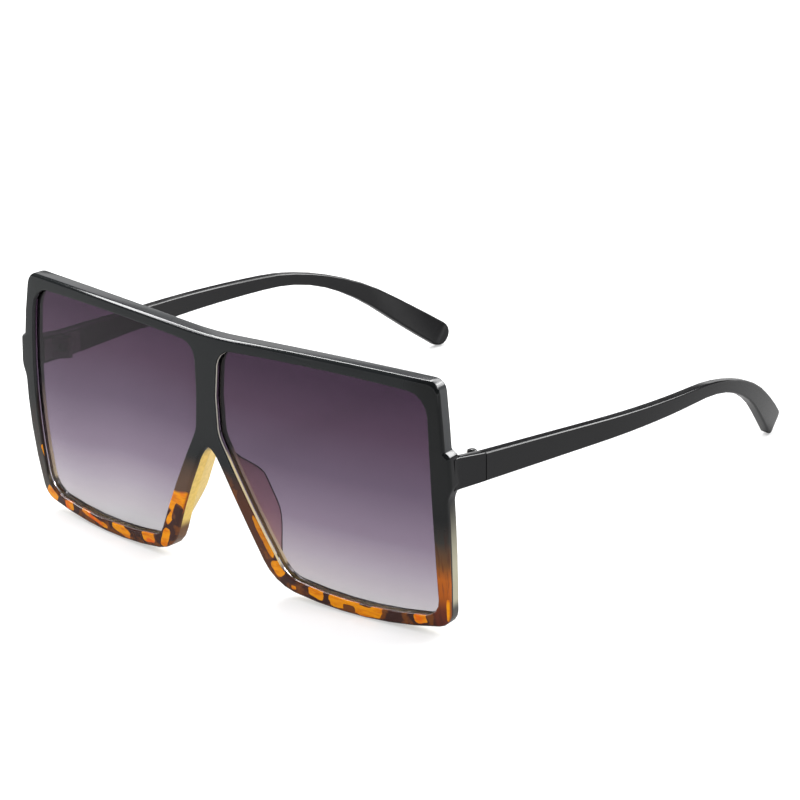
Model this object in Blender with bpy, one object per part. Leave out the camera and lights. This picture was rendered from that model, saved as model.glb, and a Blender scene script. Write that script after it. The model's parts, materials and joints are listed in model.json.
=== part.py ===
"""Square sunglasses: a moulded front, two lenses and two temples that fold on metal hinges.

Lengths are in metres and angles in degrees. The front faces -Y, the temples run to +Y and
+Z is up. The wearer's left is +X. The sunglasses stand open on their lower rims and on the
tips of the temples, with the origin on the floor under the middle of their box.
"""
import math

import bmesh
import bpy
from mathutils import Matrix, Vector

# Outer outline of the front, laid flat: across from the middle, up from the nose legs' ends
FRONT_HALF_WIDTH = 0.0740
FRONT_FLARE = 0.0002
FRONT_LOWER_HALF_WIDTH = FRONT_HALF_WIDTH + FRONT_FLARE
FRONT_HEIGHT = 0.0640
BROW_DIP = 0.0010
BROW_BOW = 0.0009
SIDE_BOW = 0.0026
LOWER_BOW = 0.0030
LOWER_OUTER_RISE = 0.0005
NOSE_HALF_WIDTH = 0.0183
NOSE_ARCH_HALF_WIDTH = 0.0016
BRIDGE_DEPTH = 0.0308
NOSE_ARCH_HEIGHT = FRONT_HEIGHT - BRIDGE_DEPTH
NOSE_BOW = 0.0004
BROW_CORNER = 0.0028
LOWER_OUTER_CORNER = 0.0034
LOWER_INNER_CORNER = 0.0065
NOSE_ARCH_CORNER = 0.0045
BROW_MIDDLE_CORNER = 0.0100

# Place of the hinge pin's middle: in from the side, down from the brow, back from the face
HINGE_INSET = 0.0011
HINGE_DROP = 0.0251
HINGE_ACROSS = FRONT_HALF_WIDTH - HINGE_INSET
HINGE_HEIGHT = FRONT_HEIGHT - HINGE_DROP
HINGE_BACK = 0.0214

# Swell of each side of the front where an end piece leaves it
SWELL = 0.0016
SWELL_ABOVE_HINGE = 0.0083
SWELL_BELOW_HINGE = 0.0049
SWELL_TOP = HINGE_HEIGHT + SWELL_ABOVE_HINGE
SWELL_BOTTOM = HINGE_HEIGHT - SWELL_BELOW_HINGE
SWELL_UPPER_BLEND = 0.0016
SWELL_LOWER_BLEND = 0.0048
SWELL_SHARES = (0.0, 0.25, 0.5, 0.75, 1.0)

# Lens opening, laid flat: the widths of the rim round it, and its own corners and bows
BRIDGE_UPPER_HALF_WIDTH = 0.0046
BRIDGE_LOWER_HALF_WIDTH = 0.0042
BRIDGE_BEND_RISE = 0.0042
BRIDGE_BEND_HEIGHT = NOSE_ARCH_HEIGHT + BRIDGE_BEND_RISE
BROW_RIM = 0.0035
BROW_RIM_AT_BRIDGE = 0.0040
SIDE_RIM = 0.0032
LOWER_SIDE_RIM = 0.0027
LOWER_RIM = 0.0031
NOSE_RIM = 0.0047
OPENING_BROW_BOW = 0.0012
OPENING_SIDE_BOW = 0.0011
OPENING_LOWER_BOW = 0.0021
OPENING_NOSE_BOW = 0.0001
OPENING_BRIDGE_BOW = 0.0009
OPENING_BRIDGE_CORNER = 0.0040
OPENING_OUTER_CORNER = 0.0055
OPENING_LOWER_CORNER = 0.0045
OPENING_NOSE_CORNER = 0.0032
OPENING_BEND_CORNER = 0.0020

# Depth of the front and the curves it takes: round the face, and from brow to cheek
FACE_RADIUS = 0.4650
UPRIGHT_RADIUS = 0.2460
UPRIGHT_MIDDLE_DROP = 0.0335
UPRIGHT_MIDDLE = FRONT_HEIGHT - UPRIGHT_MIDDLE_DROP
FRONT_LEAN = 2.5
RIM_DEPTH = 0.0042
RIM_EDGE_RADIUS = 0.0009
OPENING_EDGE_RADIUS = 0.0004
REAR_EDGE_RADIUS = 0.0005

# Lens and the groove that holds it
LENS_THICKNESS = 0.0016
LENS_BEVEL = 0.0003
LENS_SETBACK = 0.0012
GROOVE_DEPTH = 0.0009
SEAT_GAP = 0.0003

# Nose pads, moulded in one with the front behind each nose leg
PAD_REACH = 0.0073
PAD_RISE = 0.0012
PAD_UPPER_RAMP = 0.0094
PAD_FULL_LENGTH = 0.0065
PAD_TOP = NOSE_ARCH_HEIGHT + PAD_RISE
PAD_FULL_TOP = PAD_TOP - PAD_UPPER_RAMP
PAD_FULL_BOTTOM = PAD_FULL_TOP - PAD_FULL_LENGTH
PAD_BOTTOM = 0.0032
PAD_EDGE_OFFSET = 0.0045
PAD_EDGE_THICKNESS = 0.0013
PAD_EDGE_RADIUS = 0.0004
PAD_ROOT_THICKNESS = 0.0032
PAD_ROOT_INSET = 0.0002
PAD_ROOT_SINK = 0.0012

# Hinge: its pin stands square to the temple, on the inner side of the joint
TEMPLE_DROP = 6.45
KNUCKLE_RADIUS = 0.0014
KNUCKLE_GAP = 0.0001
MIDDLE_KNUCKLE_HEIGHT = 0.0019
LEAF_HEIGHT = 0.0058
LEAF_LENGTH = 0.0052
LEAF_THICKNESS = 0.0009
LEAF_SETBACK = 0.0012
WEB_SETBACK = 0.0009
WEB_LENGTH = 0.0020
WEB_SINK = 0.0003
POST_RADIUS = 0.0006
POST_LENGTH = 0.0008
POST_SPACING = 0.0026
SCREW_RADIUS = 0.00065
SCREW_CLEARANCE = 0.00005
SCREW_HEAD_RADIUS = 0.0012
SCREW_HEAD_HEIGHT = 0.0007
SCREW_CROWN_TURN = 75
SCREW_SLOT_WIDTH = 0.0003
SCREW_SLOT_DEPTH = 0.0003

# End pieces, which carry the hinges behind the upper part of each side rim
JOINT_GAP = 0.0003
END_PIECE_HEIGHT = 0.0074
END_PIECE_RISE = 0.0009
END_PIECE_THICKNESS = 0.0030
END_PIECE_FRONT_SINK = 0.0001
END_PIECE_STAND = 0.00004
END_PIECE_EDGE = 0.0005
UPPER_FILLET = 0.0021
LOWER_FILLET = 0.0014
FILLET_SINK = 0.0010
FILLET_INSET = 0.0002

# Temples, measured along their length from the joint
TEMPLE_THICKNESS = 0.0030
TEMPLE_EDGE = 0.0006
TEMPLE_BEND_START = 0.0789
TEMPLE_BEND_RADIUS = 0.0650
TEMPLE_BEND = 36.2
TEMPLE_TIP_LENGTH = 0.0218
TEMPLE_WAIST = 0.0909
TEMPLE_WAIST_HEIGHT = 0.0034
TEMPLE_TIP_HEIGHT = 0.0071
TEMPLE_TIP_ROUND = 0.0030
TEMPLE_TIP_TURN = 80
TEMPLE_SPLAY = 4.6
TEMPLE_INWARD_START = 0.0383
TEMPLE_INWARD_RADIUS = 0.1947

# How finely curves are drawn
FACET_LENGTH = 0.0080
STATION_LENGTH = 0.0055
CORNER_STEPS = 4
EDGE_STEPS = 3
ROUND_STEPS = 12
KNUCKLE_STEPS = 16
PAD_STATIONS = 18
SHARP_ANGLE = 30
LARGEST_CORNER_SHARE = 0.48

# How far cutters run past what they cut, and how close points are one point
OVERRUN = 0.0010
MERGE_DISTANCE = 0.000005
SIDES = (("left", 1), ("right", -1))


# Materials
def plastic(name, colour, roughness):
    """A moulded plastic of one colour."""
    return finish(name, colour, roughness, 0.0)


def finish(name, colour, roughness, metallic):
    """A material with the given colour, roughness and metallic value."""
    material = bpy.data.materials.new(name)
    material.use_nodes = True
    shader = material.node_tree.nodes["Principled BSDF"]
    shader.inputs["Base Color"].default_value = (*colour, 1.0)
    shader.inputs["Roughness"].default_value = roughness
    shader.inputs["Metallic"].default_value = metallic
    material.diffuse_color = (*colour, 1.0)
    return material


# Mesh helpers
def smoothstep(share):
    """Ease from 0 to 1 without a corner at either end."""
    share = min(max(share, 0.0), 1.0)
    return share * share * (3.0 - 2.0 * share)


def add_object(name, mesh_builder, material, parent):
    """Turn a closed bmesh into a named object under its parent; tools have no material."""
    bmesh.ops.remove_doubles(mesh_builder, verts=mesh_builder.verts, dist=MERGE_DISTANCE)
    bmesh.ops.recalc_face_normals(mesh_builder, faces=mesh_builder.faces)
    mesh = bpy.data.meshes.new(name)
    mesh_builder.to_mesh(mesh)
    mesh_builder.free()
    if material is not None:
        mesh.materials.append(material)
    mesh.shade_smooth()
    mesh.set_sharp_from_angle(angle=math.radians(SHARP_ANGLE))
    obj = bpy.data.objects.new(name, mesh)
    bpy.context.scene.collection.objects.link(obj)
    obj.parent = parent
    return obj


def add_empty(name, parent, location=(0, 0, 0), turn_about_x=0.0):
    """An empty that places or turns the pieces under it."""
    empty = bpy.data.objects.new(name, None)
    empty.empty_display_size = LEAF_LENGTH
    empty.location = location
    empty.rotation_euler.x = turn_about_x
    empty.parent = parent
    bpy.context.scene.collection.objects.link(empty)
    return empty


def combine(target, tool, operation):
    """Join a tool object to a target, or cut it away, and keep the tool as a hidden guide."""
    tool.hide_render = True
    tool.display_type = "WIRE"
    modifier = target.modifiers.new(tool.name, "BOOLEAN")
    modifier.operation = operation
    modifier.solver = "EXACT"
    modifier.object = tool


def add_rings(builder, rings, closed_ends=True):
    """Skin a list of rings with equal numbers of points, and cap both ends."""
    loops = [[builder.verts.new(point) for point in ring] for ring in rings]
    for first, second in zip(loops, loops[1:]):
        for index in range(len(first)):
            after = (index + 1) % len(first)
            builder.faces.new((first[index], first[after], second[after], second[index]))
    if closed_ends:
        builder.faces.new(loops[0])
        builder.faces.new(list(reversed(loops[-1])))
    return loops


def circle(radius, steps, height):
    """Points of a level circle round the Z axis."""
    turns = [math.tau * step / steps for step in range(steps)]
    return [Vector((radius * math.cos(turn), radius * math.sin(turn), height)) for turn in turns]


def rounded_section(half_width, half_height, edge, steps=EDGE_STEPS):
    """Corner-rounded rectangle as pairs (across, up), counter-clockwise from the lower right."""
    edge = min(edge, half_width, half_height)
    points = []
    for quarter, (side, top) in enumerate(((1, -1), (1, 1), (-1, 1), (-1, -1))):
        centre = (side * (half_width - edge), top * (half_height - edge))
        for step in range(steps + 1):
            turn = math.radians(-90 + 90 * (quarter + step / steps))
            points.append((centre[0] + edge * math.cos(turn), centre[1] + edge * math.sin(turn)))
    return points


# Flat outlines
def bowed_point(start, end, bow, share):
    """A point on an edge that bows to the left of its direction."""
    run = end - start
    left = Vector((-run.y, run.x)).normalized()
    return start + run * share + left * (4.0 * share * (1.0 - share) * bow)


def corner_arc(start, corner, end):
    """Points between the two ends of a corner, on an arc where the ends are equally far."""
    turn = (corner - start).angle(end - corner)
    weight = math.cos(turn / 2.0)
    points = []
    for step in range(1, CORNER_STEPS):
        share = step / CORNER_STEPS
        low = (1.0 - share) ** 2
        middle = 2.0 * weight * share * (1.0 - share)
        high = share ** 2
        points.append((start * low + corner * middle + end * high) / (low + middle + high))
    return points


def rounded_outline(corners):
    """Closed outline through corners given as (point, corner length, bow of the next edge)."""
    count = len(corners)
    edges = []
    for index in range(count):
        start, start_trim, bow = corners[index]
        end, end_trim, _ = corners[(index + 1) % count]
        length = (end - start).length
        first = min(start_trim / length, LARGEST_CORNER_SHARE)
        last = 1.0 - min(end_trim / length, LARGEST_CORNER_SHARE)
        steps = max(1, round(length * (last - first) / FACET_LENGTH))
        shares = [first + (last - first) * step / steps for step in range(steps + 1)]
        edges.append([bowed_point(start, end, bow, share) for share in shares])
    outline = []
    for index in range(count):
        after = (index + 1) % count
        outline.extend(edges[index])
        outline.extend(corner_arc(edges[index][-1], corners[after][0], edges[after][0]))
    return outline


def grown(outline, distance):
    """The outline moved outwards by a distance, for an outline that runs clockwise."""
    count = len(outline)
    moved = []
    for index, point in enumerate(outline):
        before = (point - outline[index - 1]).normalized()
        after = (outline[(index + 1) % count] - point).normalized()
        lefts = Vector((-before.y, before.x)) + Vector((-after.y, after.x))
        left = lefts.normalized()
        square = max(left.dot(Vector((-before.y, before.x))), 0.5)
        moved.append(point + left * (distance / square))
    return moved


def swell(up):
    """How far the side of the front stands out at a height."""
    upper = smoothstep((SWELL_TOP - up) / SWELL_UPPER_BLEND)
    lower = smoothstep((up - SWELL_BOTTOM) / SWELL_LOWER_BLEND)
    return SWELL * min(upper, lower)


def swell_heights():
    """Heights at which the swollen part of the side is drawn."""
    upper = [SWELL_TOP - SWELL_UPPER_BLEND * share for share in SWELL_SHARES]
    lower = [SWELL_BOTTOM + SWELL_LOWER_BLEND * share for share in SWELL_SHARES]
    return upper + lower


def swollen(outline):
    """The outline of the front with its sides swollen where the end pieces leave it."""
    points = []
    for start, end in zip(outline, outline[1:] + outline[:1]):
        near = SWELL_BOTTOM - RIM_EDGE_RADIUS < start.y < SWELL_TOP + RIM_EDGE_RADIUS
        if not (near and abs(start.x) > FRONT_HALF_WIDTH):
            points.append(start)
        low, high = sorted((start.y, end.y))
        if abs(start.x) > FRONT_HALF_WIDTH and abs(end.x) > FRONT_HALF_WIDTH:
            heights = [height for height in swell_heights() if low < height < high]
            for height in sorted(heights, reverse=start.y > end.y):
                points.append(start.lerp(end, (height - start.y) / (end.y - start.y)))
    for point in points:
        if abs(point.x) > FRONT_HALF_WIDTH:
            point.x += math.copysign(swell(point.y), point.x)
    return points


def front_outline():
    """Outer outline of the front, clockwise from the middle of the brow."""
    half = [
        (Vector((FRONT_HALF_WIDTH, FRONT_HEIGHT)), BROW_CORNER, SIDE_BOW),
        (Vector((FRONT_LOWER_HALF_WIDTH, LOWER_OUTER_RISE)), LOWER_OUTER_CORNER, LOWER_BOW),
        (Vector((NOSE_HALF_WIDTH, 0)), LOWER_INNER_CORNER, -NOSE_BOW),
        (Vector((NOSE_ARCH_HALF_WIDTH, NOSE_ARCH_HEIGHT)), NOSE_ARCH_CORNER, 0.0),
    ]
    middle = (Vector((0, FRONT_HEIGHT - BROW_DIP)), BROW_MIDDLE_CORNER, BROW_BOW)
    bows = [-NOSE_BOW, LOWER_BOW, SIDE_BOW, BROW_BOW]
    other = [
        (Vector((-corner[0].x, corner[0].y)), corner[1], bow)
        for corner, bow in zip(reversed(half), bows)
    ]
    return swollen(rounded_outline([middle] + half + other))


def opening_outline():
    """The left lens opening, clockwise from its upper corner at the bridge."""
    upper_inner = Vector((BRIDGE_UPPER_HALF_WIDTH, FRONT_HEIGHT - BROW_RIM_AT_BRIDGE))
    upper_outer = Vector((FRONT_HALF_WIDTH - SIDE_RIM, FRONT_HEIGHT - BROW_RIM))
    lower_outer = Vector((FRONT_LOWER_HALF_WIDTH - LOWER_SIDE_RIM, LOWER_RIM))
    lower_inner = Vector((NOSE_HALF_WIDTH + NOSE_RIM, LOWER_RIM))
    bend = Vector((BRIDGE_LOWER_HALF_WIDTH, BRIDGE_BEND_HEIGHT))
    return rounded_outline([
        (upper_inner, OPENING_BRIDGE_CORNER, OPENING_BROW_BOW),
        (upper_outer, OPENING_OUTER_CORNER, OPENING_SIDE_BOW),
        (lower_outer, OPENING_LOWER_CORNER, OPENING_LOWER_BOW),
        (lower_inner, OPENING_NOSE_CORNER, -OPENING_NOSE_BOW),
        (bend, OPENING_BEND_CORNER, OPENING_BRIDGE_BOW),
    ])


def mirrored(outline):
    """The outline on the wearer's right, still clockwise."""
    return [Vector((-point.x, point.y)) for point in reversed(outline)]


def curved(across, up, back):
    """Where a point of the flat front lies once the front is curved and leaned."""
    turn = across / FACE_RADIUS
    reach = FACE_RADIUS - back
    sag = (up - UPRIGHT_MIDDLE) ** 2 / (2.0 * UPRIGHT_RADIUS)
    point = Vector((reach * math.sin(turn), FACE_RADIUS - reach * math.cos(turn) + sag, up))
    return Matrix.Rotation(math.radians(-FRONT_LEAN), 3, "X") @ point


def curve_all(builder):
    """Move every vertex from its flat place (across, up, back) to its curved one."""
    for vertex in builder.verts:
        vertex.co = curved(vertex.co.x, vertex.co.y, vertex.co.z)


def flat_ring(outline, growth, back):
    """A flat outline, grown and set back, as 3D points."""
    return [Vector((point.x, point.y, back)) for point in grown(outline, growth)]


# Front
def round_over(radius, start_back, direction):
    """Growth and depth pairs of an edge rounding that starts on a face and ends on the wall."""
    pairs = []
    for step in range(EDGE_STEPS + 1):
        turn = math.radians(90 * step / EDGE_STEPS)
        growth = radius * (1.0 - math.sin(turn))
        pairs.append((growth, start_back + direction * radius * (1.0 - math.cos(turn))))
    return pairs


def front_rim(material, parent):
    """The rim round both lenses: one plate with two grooved openings, curved round the face."""
    groove_front = LENS_SETBACK - SEAT_GAP
    groove_back = LENS_SETBACK + LENS_THICKNESS + SEAT_GAP
    outer_profile = [(-growth, back) for growth, back in round_over(RIM_EDGE_RADIUS, 0, 1)]
    outer_profile += [
        (-growth, back) for growth, back in reversed(round_over(REAR_EDGE_RADIUS, RIM_DEPTH, -1))
    ]
    opening_profile = round_over(OPENING_EDGE_RADIUS, 0, 1)
    opening_profile += [
        (0, groove_front),
        (GROOVE_DEPTH, groove_front),
        (GROOVE_DEPTH, groove_back),
        (0, groove_back),
    ]
    opening_profile += list(reversed(round_over(OPENING_EDGE_RADIUS, RIM_DEPTH, -1)))
    builder = bmesh.new()
    outer = front_outline()
    opening = opening_outline()
    fronts = []
    backs = []
    walls = ((outer, outer_profile), (opening, opening_profile), (mirrored(opening), opening_profile))
    for outline, profile in walls:
        rings = [flat_ring(outline, growth, back) for growth, back in profile]
        loops = add_rings(builder, rings, closed_ends=False)
        fronts.append(loops[0])
        backs.append(loops[-1])
    for loops in (fronts, backs):
        edges = []
        for loop in loops:
            for index, vertex in enumerate(loop):
                edges.append(builder.edges.get((vertex, loop[index - 1])))
        bmesh.ops.triangle_fill(builder, use_beauty=True, edges=edges)
    curve_all(builder)
    return add_object("front_frame", builder, material, parent)


def nose_leg_edge(up):
    """How far the nose side of a leg is from the middle at a height."""
    share = up / NOSE_ARCH_HEIGHT
    straight = NOSE_HALF_WIDTH + (NOSE_ARCH_HALF_WIDTH - NOSE_HALF_WIDTH) * share
    return straight + 4.0 * share * (1.0 - share) * NOSE_BOW


def pad_reach(up):
    """How far a pad stands behind the rim at a height."""
    upper = smoothstep((PAD_TOP - up) / (PAD_TOP - PAD_FULL_TOP))
    lower = smoothstep((up - PAD_BOTTOM) / (PAD_FULL_BOTTOM - PAD_BOTTOM))
    return PAD_REACH * min(upper, lower)


def nose_pad(name, side, material, parent):
    """A wing behind one nose leg, thin at its edge and blended into the leg."""
    rings = []
    for station in range(PAD_STATIONS + 1):
        up = PAD_TOP + (PAD_BOTTOM - PAD_TOP) * station / PAD_STATIONS
        edge = nose_leg_edge(up)
        reach = pad_reach(up)
        back = RIM_DEPTH + reach - REAR_EDGE_RADIUS
        share = reach / PAD_REACH
        root_inner = edge + PAD_ROOT_INSET + REAR_EDGE_RADIUS * (1.0 - share)
        root_outer = edge + PAD_ROOT_THICKNESS
        tip_outer = edge + PAD_EDGE_OFFSET
        thickening = (PAD_ROOT_THICKNESS - PAD_EDGE_THICKNESS) * (1.0 - share)
        tip_inner = max(tip_outer - PAD_EDGE_THICKNESS - thickening, root_inner)
        sunk = RIM_DEPTH - PAD_ROOT_SINK
        flat = [
            (root_inner, sunk - REAR_EDGE_RADIUS),
            (root_inner, sunk),
            ((root_inner + tip_inner) / 2, (sunk + back) / 2),
            (tip_inner, back - PAD_EDGE_RADIUS),
            (tip_inner + PAD_EDGE_RADIUS, back),
            (tip_outer - PAD_EDGE_RADIUS, back),
            (tip_outer, back - PAD_EDGE_RADIUS),
            (root_outer, sunk),
            (root_outer, sunk - REAR_EDGE_RADIUS),
        ]
        rings.append([Vector((side * across, up, behind)) for across, behind in flat])
    builder = bmesh.new()
    add_rings(builder, rings)
    curve_all(builder)
    return add_object(name, builder, material, parent)


def slice_across(builder, span):
    """Cut the mesh into slices square to a span that starts at the origin."""
    cuts = round(span.length / FACET_LENGTH)
    for cut in range(1, cuts):
        everything = list(builder.verts) + list(builder.edges) + list(builder.faces)
        bmesh.ops.bisect_plane(
            builder, geom=everything, dist=MERGE_DISTANCE, plane_co=span * cut / cuts, plane_no=span
        )


def lens(name, side, material, parent):
    """A curved lens with a bevelled edge that sits in the groove of its opening."""
    outline = opening_outline()
    if side < 0:
        outline = mirrored(outline)
    edge = GROOVE_DEPTH - SEAT_GAP
    back = LENS_SETBACK + LENS_THICKNESS
    profile = [
        (edge - LENS_BEVEL, LENS_SETBACK),
        (edge, LENS_SETBACK + LENS_BEVEL),
        (edge, back - LENS_BEVEL),
        (edge - LENS_BEVEL, back),
    ]
    builder = bmesh.new()
    add_rings(builder, [flat_ring(outline, growth, depth) for growth, depth in profile])
    slice_across(builder, Vector((side * FRONT_HALF_WIDTH, 0, 0)))
    slice_across(builder, Vector((0, FRONT_HEIGHT, 0)))
    curve_all(builder)
    return add_object(name, builder, material, parent)


# Hinges, in their own frame: X across, Y back along the temple, Z up along the pin
INNER_FACE = KNUCKLE_RADIUS + SEAT_GAP
OUTER_FACE = INNER_FACE + END_PIECE_THICKNESS


def knuckle(name, side, way, low, high, parent):
    """One knuckle with the web that carries it, as a convex block from pin to leaf."""
    builder = bmesh.new()
    for height in (low, high):
        for point in circle(KNUCKLE_RADIUS, KNUCKLE_STEPS, height):
            builder.verts.new(point)
        start = LEAF_SETBACK + WEB_SETBACK
        for back in (start, start + WEB_LENGTH):
            across = side * (INNER_FACE + WEB_SINK)
            builder.verts.new((across, way * back, height))
    hull = bmesh.ops.convex_hull(builder, input=builder.verts)
    spare = [item for item in hull["geom_interior"] if isinstance(item, bmesh.types.BMVert)]
    bmesh.ops.delete(builder, geom=spare, context="VERTS")
    return add_object(name, builder, None, parent)


def box(low, high):
    """A bmesh box between two corners."""
    builder = bmesh.new()
    result = bmesh.ops.create_cube(builder, size=1.0)
    for vertex in result["verts"]:
        vertex.co = Vector((
            low[axis] if vertex.co[axis] < 0 else high[axis] for axis in range(3)
        ))
    return builder


def leaf(name, side, way, knuckles, material, parent):
    """A hinge leaf: a plate let into the plastic, posts that anchor it, and its knuckles."""
    low_across, high_across = sorted((side * INNER_FACE, side * (INNER_FACE + LEAF_THICKNESS)))
    low_back, high_back = sorted((way * LEAF_SETBACK, way * (LEAF_SETBACK + LEAF_LENGTH)))
    plate = box(
        (low_across, low_back, -LEAF_HEIGHT / 2),
        (high_across, high_back, LEAF_HEIGHT / 2),
    )
    obj = add_object(name, plate, material, parent)
    for index, (low, high) in enumerate(knuckles):
        tool = knuckle(f"{name}_knuckle_{index}", side, way, low, high, parent)
        combine(obj, tool, "UNION")
    for index, offset in enumerate((-POST_SPACING / 2, POST_SPACING / 2)):
        start = INNER_FACE + LEAF_THICKNESS / 2
        end = INNER_FACE + LEAF_THICKNESS + POST_LENGTH
        tool = post(f"{name}_post_{index}", side, way, offset, POST_RADIUS, start, end, parent)
        combine(obj, tool, "UNION")
    hole = bmesh.new()
    reach = LEAF_HEIGHT / 2 + OVERRUN
    add_rings(hole, [circle(pin_hole_radius(), ROUND_STEPS, height) for height in (-reach, reach)])
    combine(obj, add_object(f"{name}_pin_hole", hole, None, parent), "DIFFERENCE")
    return obj


def pin_hole_radius():
    """Corner radius of a knuckle's faceted hole, whose flats clear the screw."""
    return (SCREW_RADIUS + SCREW_CLEARANCE) / math.cos(math.pi / ROUND_STEPS)


def post(name, side, way, offset, radius, start, end, parent):
    """A round anchor across the plastic, from one place across to another."""
    back = way * (LEAF_SETBACK + LEAF_LENGTH / 2) + offset
    rings = []
    for across in (start, end):
        ring = circle(radius, ROUND_STEPS, 0)
        rings.append([Vector((side * across, back + point.x, point.y)) for point in ring])
    builder = bmesh.new()
    add_rings(builder, rings)
    return add_object(name, builder, None, parent)


def cut_leaf_pocket(obj, name, side, way, parent):
    """Cut the recess and the anchor holes that take a leaf, each with its seat gap."""
    depth = INNER_FACE + LEAF_THICKNESS + SEAT_GAP
    low_across, high_across = sorted((side * (INNER_FACE - OVERRUN), side * depth))
    near = way * (LEAF_SETBACK - SEAT_GAP)
    far = way * (LEAF_SETBACK + LEAF_LENGTH + SEAT_GAP)
    low_back, high_back = sorted((near, far))
    half_height = LEAF_HEIGHT / 2 + SEAT_GAP
    pocket = box((low_across, low_back, -half_height), (high_across, high_back, half_height))
    combine(obj, add_object(f"{name}_pocket", pocket, None, parent), "DIFFERENCE")
    for index, offset in enumerate((-POST_SPACING / 2, POST_SPACING / 2)):
        start = depth - OVERRUN / 2
        end = depth + POST_LENGTH
        tool = post(
            f"{name}_post_hole_{index}", side, way, offset, POST_RADIUS + SEAT_GAP, start, end, parent
        )
        combine(obj, tool, "DIFFERENCE")


def hinge_screw(name, material, parent):
    """The hinge pin: a screw with a slotted domed head on top of the upper knuckle."""
    bottom = -LEAF_HEIGHT / 2
    seat = LEAF_HEIGHT / 2 + SCREW_CLEARANCE
    top = seat + SCREW_HEAD_HEIGHT
    rings = [circle(SCREW_RADIUS, ROUND_STEPS, bottom), circle(SCREW_RADIUS, ROUND_STEPS, seat)]
    crown = SCREW_HEAD_HEIGHT / 2
    for step in range(EDGE_STEPS + 1):
        turn = math.radians(SCREW_CROWN_TURN * step / EDGE_STEPS)
        radius = SCREW_HEAD_RADIUS * math.cos(turn)
        rings.append(circle(radius, ROUND_STEPS, top - crown + crown * math.sin(turn)))
    rings.insert(2, circle(SCREW_HEAD_RADIUS, ROUND_STEPS, seat))
    builder = bmesh.new()
    add_rings(builder, rings)
    obj = add_object(name, builder, material, parent)
    reach = SCREW_HEAD_RADIUS + OVERRUN
    slot = box(
        (-SCREW_SLOT_WIDTH / 2, -reach, top - SCREW_SLOT_DEPTH),
        (SCREW_SLOT_WIDTH / 2, reach, top + OVERRUN),
    )
    combine(obj, add_object(f"{name}_slot", slot, None, parent), "DIFFERENCE")
    return obj


# End pieces
def side_edge(up):
    """How far the side of the flat front is from the middle at a height."""
    share = (up - LOWER_OUTER_RISE) / (FRONT_HEIGHT - LOWER_OUTER_RISE)
    straight = FRONT_LOWER_HALF_WIDTH + (FRONT_HALF_WIDTH - FRONT_LOWER_HALF_WIDTH) * share
    return straight + 4.0 * share * (1.0 - share) * SIDE_BOW + swell(up)


def in_hinge_frame(point):
    """A point of the curved front as seen from the left hinge."""
    seat = Vector((HINGE_ACROSS, HINGE_BACK, HINGE_HEIGHT))
    return Matrix.Rotation(math.radians(TEMPLE_DROP), 3, "X") @ (point - seat)


def rim_point(inward, raised, back):
    """A point of the side rim at the end piece, as seen from the left hinge."""
    up = HINGE_HEIGHT + HINGE_BACK * math.tan(math.radians(TEMPLE_DROP)) / 2 + raised
    return in_hinge_frame(curved(side_edge(up) - inward, up, back))


def rim_shear():
    """Slopes of the rim's rear face at the end piece: back per across and back per up."""
    rear = rim_point(0, 0, RIM_DEPTH)
    inner = rim_point(END_PIECE_THICKNESS, 0, RIM_DEPTH)
    upper = rim_point(0, END_PIECE_HEIGHT / 2, RIM_DEPTH)
    return (inner.y - rear.y) / (inner.x - rear.x), (upper.y - rear.y) / (upper.z - rear.z)


def end_piece_rise(back):
    """How much the top of the arm rises from its height at the joint towards the rim."""
    return END_PIECE_RISE * min(back / rim_point(0, 0, RIM_DEPTH).y, 1.0)


def end_piece(name, side, parent):
    """The arm from inside a side rim back to the joint."""
    middle = rim_point(0, 0, RIM_DEPTH / 2)
    rear = rim_point(0, 0, RIM_DEPTH)
    slope_across, slope_up = rim_shear()
    stations = (
        (middle.y, middle.x - END_PIECE_FRONT_SINK, 1.0),
        (rear.y, rear.x + END_PIECE_STAND, 1.0),
        (-JOINT_GAP / 2, OUTER_FACE, 0.0),
    )
    rings = []
    for back, outer, blend in stations:
        rise = end_piece_rise(back) / 2
        section = rounded_section((outer - INNER_FACE) / 2, END_PIECE_HEIGHT / 2 + rise, END_PIECE_EDGE)
        ring = []
        for across, height in section:
            across += (outer + INNER_FACE) / 2
            height += rise
            shear = slope_across * (across - rear.x) + slope_up * height
            ring.append(Vector((side * across, back + blend * shear, height)))
        rings.append(ring)
    builder = bmesh.new()
    add_rings(builder, rings)
    return add_object(name, builder, None, parent)


def fillet(name, side, way, radius, parent):
    """A round fillet between the rear of a side rim and the top or the bottom of its arm."""
    rear = rim_point(0, 0, RIM_DEPTH)
    slope_across, slope_up = rim_shear()
    floor = way * END_PIECE_HEIGHT / 2
    wall = rear.y - REAR_EDGE_RADIUS
    profile = [(wall - FILLET_SINK, floor - way * FILLET_SINK)]
    profile.append((wall - FILLET_SINK, floor + way * radius))
    for step in range(CORNER_STEPS + 1):
        turn = math.radians(90 * step / CORNER_STEPS)
        back = wall + radius * (1.0 - math.cos(turn))
        profile.append((back, floor + way * radius * (1.0 - math.sin(turn))))
    profile.append((wall + radius, floor - way * FILLET_SINK))
    rings = ([], [])
    for back, height in profile:
        if way > 0:
            height += end_piece_rise(back)
        edge = rim_point(REAR_EDGE_RADIUS + FILLET_INSET, height, RIM_DEPTH).x
        for ring, across in zip(rings, (INNER_FACE + END_PIECE_EDGE, edge)):
            shear = slope_across * (across - rear.x) + slope_up * height
            ring.append(Vector((side * across, back + shear, height)))
    builder = bmesh.new()
    add_rings(builder, rings)
    return add_object(name, builder, None, parent)


# Temples
def temple_direction(distance):
    """How far the temple has bent down at a distance along it."""
    arc = TEMPLE_BEND_RADIUS * math.radians(TEMPLE_BEND)
    share = min(max((distance - TEMPLE_BEND_START) / arc, 0.0), 1.0)
    return math.radians(TEMPLE_BEND) * share


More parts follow.
